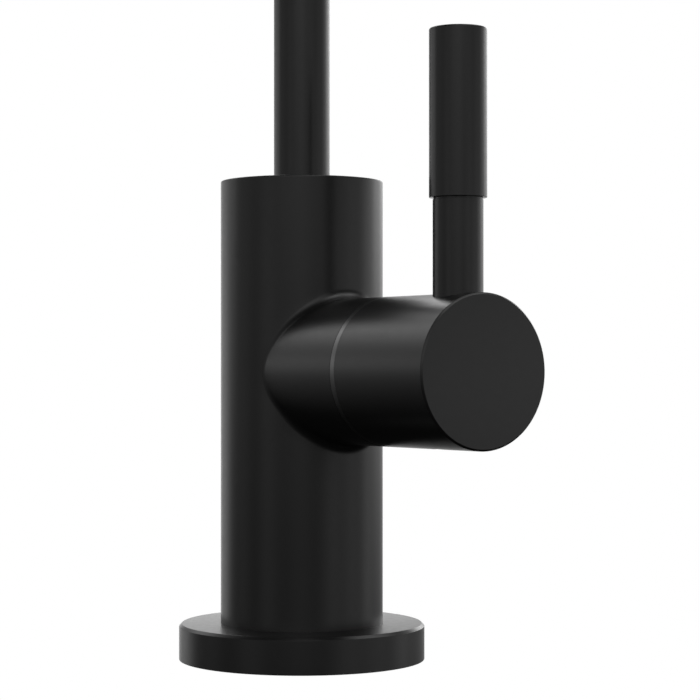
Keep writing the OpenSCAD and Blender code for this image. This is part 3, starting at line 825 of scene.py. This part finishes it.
def gooseneck_path():
    """Points along the tube's middle, each with its turn round the bend: riser, half circle and down leg."""
    bend_r = (tube_hi.y - tube_lo.y) / 2 - tube_r
    bend_z = tube_hi.z - tube_r - bend_r
    end_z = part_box("outlet_tip")[0].z + TIP_SEAT
    riser = [(Vector((0, 0, z)), 0) for z in steps(tube_lo.z, bend_z, LEG_STEPS)[:-1]]
    bend = [(Vector((0, bend_r * (math.cos(a) - 1), bend_z + bend_r * math.sin(a))), a)
            for a in steps(0, math.pi, BEND_STEPS)]
    down = [(Vector((0, -2 * bend_r, z)), math.pi) for z in steps(bend_z, end_z, LEG_STEPS)[1:]]
    return riser + bend + down


def tube_rings(bm, path, r):
    sideways = Vector((1, 0, 0))
    rings = []
    for point, a in path:
        outwards = Vector((0, math.cos(a), math.sin(a)))
        ring = []
        for i in range(TUBE_COLUMNS):
            b = 2 * math.pi * i / TUBE_COLUMNS
            ring.append(bm.verts.new(point + r * (math.cos(b) * outwards + math.sin(b) * sideways)))
        rings.append(ring)
    return rings


def make_tube():
    def make(bm):
        path = gooseneck_path()
        outer = tube_rings(bm, path, tube_r)
        inner = tube_rings(bm, path, tube_r - TUBE_WALL)
        skin(bm, outer + inner[::-1] + outer[:1])
    return solid("gooseneck", make)


TIP_EDGE = 0.3 * MM
TIP_LIP_R = 4.2 * MM
TIP_LIP = 2.5 * MM


def make_tip():
    lo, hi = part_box("outlet_tip")
    r = (hi.x - lo.x) / 2
    seat_r, seat_z = tube_r + SEAT_FIT, lo.z + TIP_SEAT
    cup_r, lip_z = radius_of("stream_straightener") + SEAT_FIT, lo.z + TIP_LIP
    corners = [
        (TIP_LIP_R, lo.z, TIP_EDGE / 2), (r, lo.z, TIP_EDGE), (r, hi.z, TIP_EDGE), (seat_r, hi.z, 0),
        (seat_r, seat_z, 0), (cup_r, seat_z, 0), (cup_r, lip_z, 0), (TIP_LIP_R, lip_z, 0),
    ]
    return turned("outlet_sleeve", corners, upright(y=(lo.y + hi.y) / 2))


CAP_GAP = 0.15 * MM
CAP_EDGE = 0.25 * MM
PIN_HOLE_R = 0.8 * MM
PIN_HOLE_DEPTH = 1.5 * MM


def make_cap():
    """Cap with two holes for a pin wrench."""
    lo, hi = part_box("top_cap")
    r = radius_of("top_cap")
    bore = tube_r + CAP_GAP
    corners = [(bore, lo.z, 0), (r, lo.z, 0), (r, hi.z, CAP_EDGE), (bore, hi.z, CAP_EDGE / 2)]
    cap = revolved("cap_ring", corners, upright())
    pin_x = (r + SEAT_FIT + tube_r) / 2
    pin_z = hi.z - PIN_HOLE_DEPTH
    cut(cap, [bar_cutter(PIN_HOLE_R, pin_z, hi.z + OVERRUN, upright(x)) for x in (pin_x, -pin_x)])
    smooth(cap)
    true_round(cap, upright(), r, bore)
    return cap


# Glide ring in the seam between barrel and hub
GLIDE_W = 2.2 * MM
GLIDE_EDGE = 0.05 * MM


def make_seam_ring():
    lo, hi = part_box("hub_glide_ring")
    r = radius_of("hub_glide_ring")
    inner = r - GLIDE_W
    corners = [(inner, lo.x, 0), (r, lo.x, GLIDE_EDGE), (r, hi.x, GLIDE_EDGE), (inner, hi.x, 0)]
    return turned("seam_ring", corners, along_barrel(), FINE_COLUMNS)


# Each new piece with its slot, its body and the node that it stands for
dressed = [
    (make_column(), "black_coat", "body", "column"),
    (make_flange(), "black_coat", "body", "base_flange"),
    (make_hub(), "black_coat", "handle", "handle_hub"),
    (make_stem(), "black_coat", "handle", "lever_stem"),
    (make_grip(), "black_coat", "handle", "lever_grip"),
    (make_tube(), "black_coat", "spout", "spout_tube"),
    (make_tip(), "black_coat", "spout", "outlet_tip"),
    (make_cap(), "black_coat", "body", "top_cap"),
    (make_seam_ring(), "black_acetal", "body", "hub_glide_ring"),
    (make_shank(), "brass", "body", "shank"),
    (make_nut(), "brass", "body", "lock_nut"),
    (make_washer("steel_washer", "deck_steel_washer", STEEL_WASHER_EDGE),
     "steel", "body", "deck_steel_washer"),
    (make_washer("rubber_washer", "deck_rubber_washer", RUBBER_WASHER_EDGE),
     "rubber", "body", "deck_rubber_washer"),
    (make_set_screw(), "steel", "handle", "hub_set_screw"),
]
for piece, slot_name, body, node in dressed:
    if not piece.data.has_custom_normals:
        smooth(piece)
    dress(piece, slot_name, body, node)

# The solids that stay get the material of their slot
for subpart in frame["record"]["subparts"]:
    node = frame["nodes"][subpart["node"]]
    if not node.hide_render:
        node.data.materials.clear()
        node.data.materials.append(materials[subpart["material_slot"]])

# Camera: the photograph's place, direction and framing
CAMERA_PLACE = (309.96 * MM, -207 * MM, 51.75 * MM)
CAMERA_HEADING = math.radians(55.45)
LENS_MM = 106.96
SENSOR_MM = 36
SHIFT_X = 0.0266
SHIFT_Y = 0.0273
CLIP_START = 10 * MM


def make_camera():
    data = bpy.data.cameras.new("camera")
    data.lens = LENS_MM
    data.sensor_width = SENSOR_MM
    data.shift_x = SHIFT_X
    data.shift_y = SHIFT_Y
    data.clip_start = CLIP_START
    camera = bpy.data.objects.new("camera", data)
    camera.location = CAMERA_PLACE
    camera.rotation_euler = (math.pi / 2, 0, CAMERA_HEADING)
    bpy.context.scene.collection.objects.link(camera)
    return camera


bpy.context.scene.camera = make_camera()

# Floor: the pale top of the deck, seen by the camera only, because the coat mirrors a darker room
FLOOR_HALF = 4.0
FLOOR_Z = -0.02 * MM
FLOOR_GLOW = 1.0


def floor_skin(bm):
    corners = ((-1, -1), (1, -1), (1, 1), (-1, 1))
    bm.faces.new([bm.verts.new((x * FLOOR_HALF, y * FLOOR_HALF, FLOOR_Z)) for x, y in corners])


def pale_floor():
    material = bpy.data.materials.new("pale_floor")
    material.use_nodes = True
    tree = material.node_tree
    tree.nodes.clear()
    glow = tree.nodes.new("ShaderNodeEmission")
    out = tree.nodes.new("ShaderNodeOutputMaterial")
    glow.inputs["Strength"].default_value = FLOOR_GLOW
    tree.links.new(glow.outputs["Emission"], out.inputs["Surface"])
    material.cycles.emission_sampling = "NONE"
    return material


floor = solid("floor", floor_skin)
floor.data.materials.append(pale_floor())
floor.visible_diffuse = False
floor.visible_glossy = False
floor.visible_shadow = False

# Studio: soft lobes of light round the object, before a white backdrop that only the camera sees. Each lobe
# has its azimuth to the right of the photograph's camera and its elevation, both in degrees, its focus,
# which is the power of the cosine that it falls off with, and its strength.
STUDIO = [
    ("level_right_front", 45, 0, 30, 0.69),
    ("level_right", 75, 0, 30, 0.74),
    ("level_right_back", 106, 1, 40, 1.05),
    ("level_back_right", 150, 0, 30, 0.25),
    ("level_back", 180, 0, 30, 1.55),
    ("level_back_left", 195, 0, 30, 0.85),
    ("level_left_back", 225, 0, 30, 0.93),
    ("level_left", 270, 0, 30, 0.32),
    ("level_left_front", 312, 4, 30, 0.6),
    ("level_front", 0, -8, 30, 0.06),
    ("strip_left_low", 248, 8, 120, 0.96),
    ("low_front", 335, 12, 60, 0.48),
    ("low_right_front", 28, 13, 60, 0.3),
    ("low_right_back", 130, 10, 60, 2.4),
    ("low_back_right", 155, 15, 60, 3.82),
    ("low_left", 285, 16, 30, 0.39),
    ("raised_front", 0, 25, 12, 1.08),
    ("strip_left_high", 228, 33, 120, 0.94),
    ("raised_left_back", 240, 33, 30, 1.28),
    ("raised_back", 195, 40, 30, 4.0),
    ("overhead_right_back", 105, 52, 30, 1.85),
    ("overhead_right_front", 45, 62, 30, 2.7),
]


def studio_direction(azimuth, elevation):
    """Direction that is azimuth degrees to the right of the camera, seen from the object, and so far up."""
    turn = CAMERA_HEADING - math.pi / 2 + math.radians(azimuth)
    rise = math.radians(elevation)
    return (math.cos(turn) * math.cos(rise), math.sin(turn) * math.cos(rise), math.sin(rise))


def math_node(tree, operation, value, *numbers):
    """Math node that takes a linked value and then plain numbers."""
    node = tree.nodes.new("ShaderNodeMath")
    node.operation = operation
    tree.links.new(value, node.inputs[0])
    for i, number in enumerate(numbers, start=1):
        node.inputs[i].default_value = number
    return node


def sum_of_lobes(tree, lobes):
    """Light from the direction that is looked in, as the sum of all lobes."""
    coordinates = tree.nodes.new("ShaderNodeTexCoord")
    total = None
    for name, azimuth, elevation, focus, strength in lobes:
        dot = tree.nodes.new("ShaderNodeVectorMath")
        dot.operation = "DOT_PRODUCT"
        dot.label = name
        dot.inputs[1].default_value = studio_direction(azimuth, elevation)
        tree.links.new(coordinates.outputs["Generated"], dot.inputs[0])
        facing = math_node(tree, "MAXIMUM", dot.outputs["Value"], 0)
        power = math_node(tree, "POWER", facing.outputs[0], focus)
        scaled = math_node(tree, "MULTIPLY_ADD", power.outputs[0], strength, 0)
        if total:
            tree.links.new(total, scaled.inputs[2])
        total = scaled.outputs[0]
    return total


def make_studio(lobes):
    world = bpy.data.worlds.new("studio")
    bpy.context.scene.world = world
    world.use_nodes = True
    tree = world.node_tree
    tree.nodes.clear()
    light = tree.nodes.new("ShaderNodeBackground")
    backdrop = tree.nodes.new("ShaderNodeBackground")
    seen = tree.nodes.new("ShaderNodeLightPath")
    choose = tree.nodes.new("ShaderNodeMixShader")
    out = tree.nodes.new("ShaderNodeOutputWorld")
    backdrop.inputs["Color"].default_value = (1, 1, 1, 1)
    tree.links.new(sum_of_lobes(tree, lobes), light.inputs["Color"])
    tree.links.new(seen.outputs["Is Camera Ray"], choose.inputs["Fac"])
    tree.links.new(light.outputs[0], choose.inputs[1])
    tree.links.new(backdrop.outputs[0], choose.inputs[2])
    tree.links.new(choose.outputs[0], out.inputs["Surface"])


make_studio(STUDIO)
bpy.context.scene.view_settings.view_transform = "Standard"
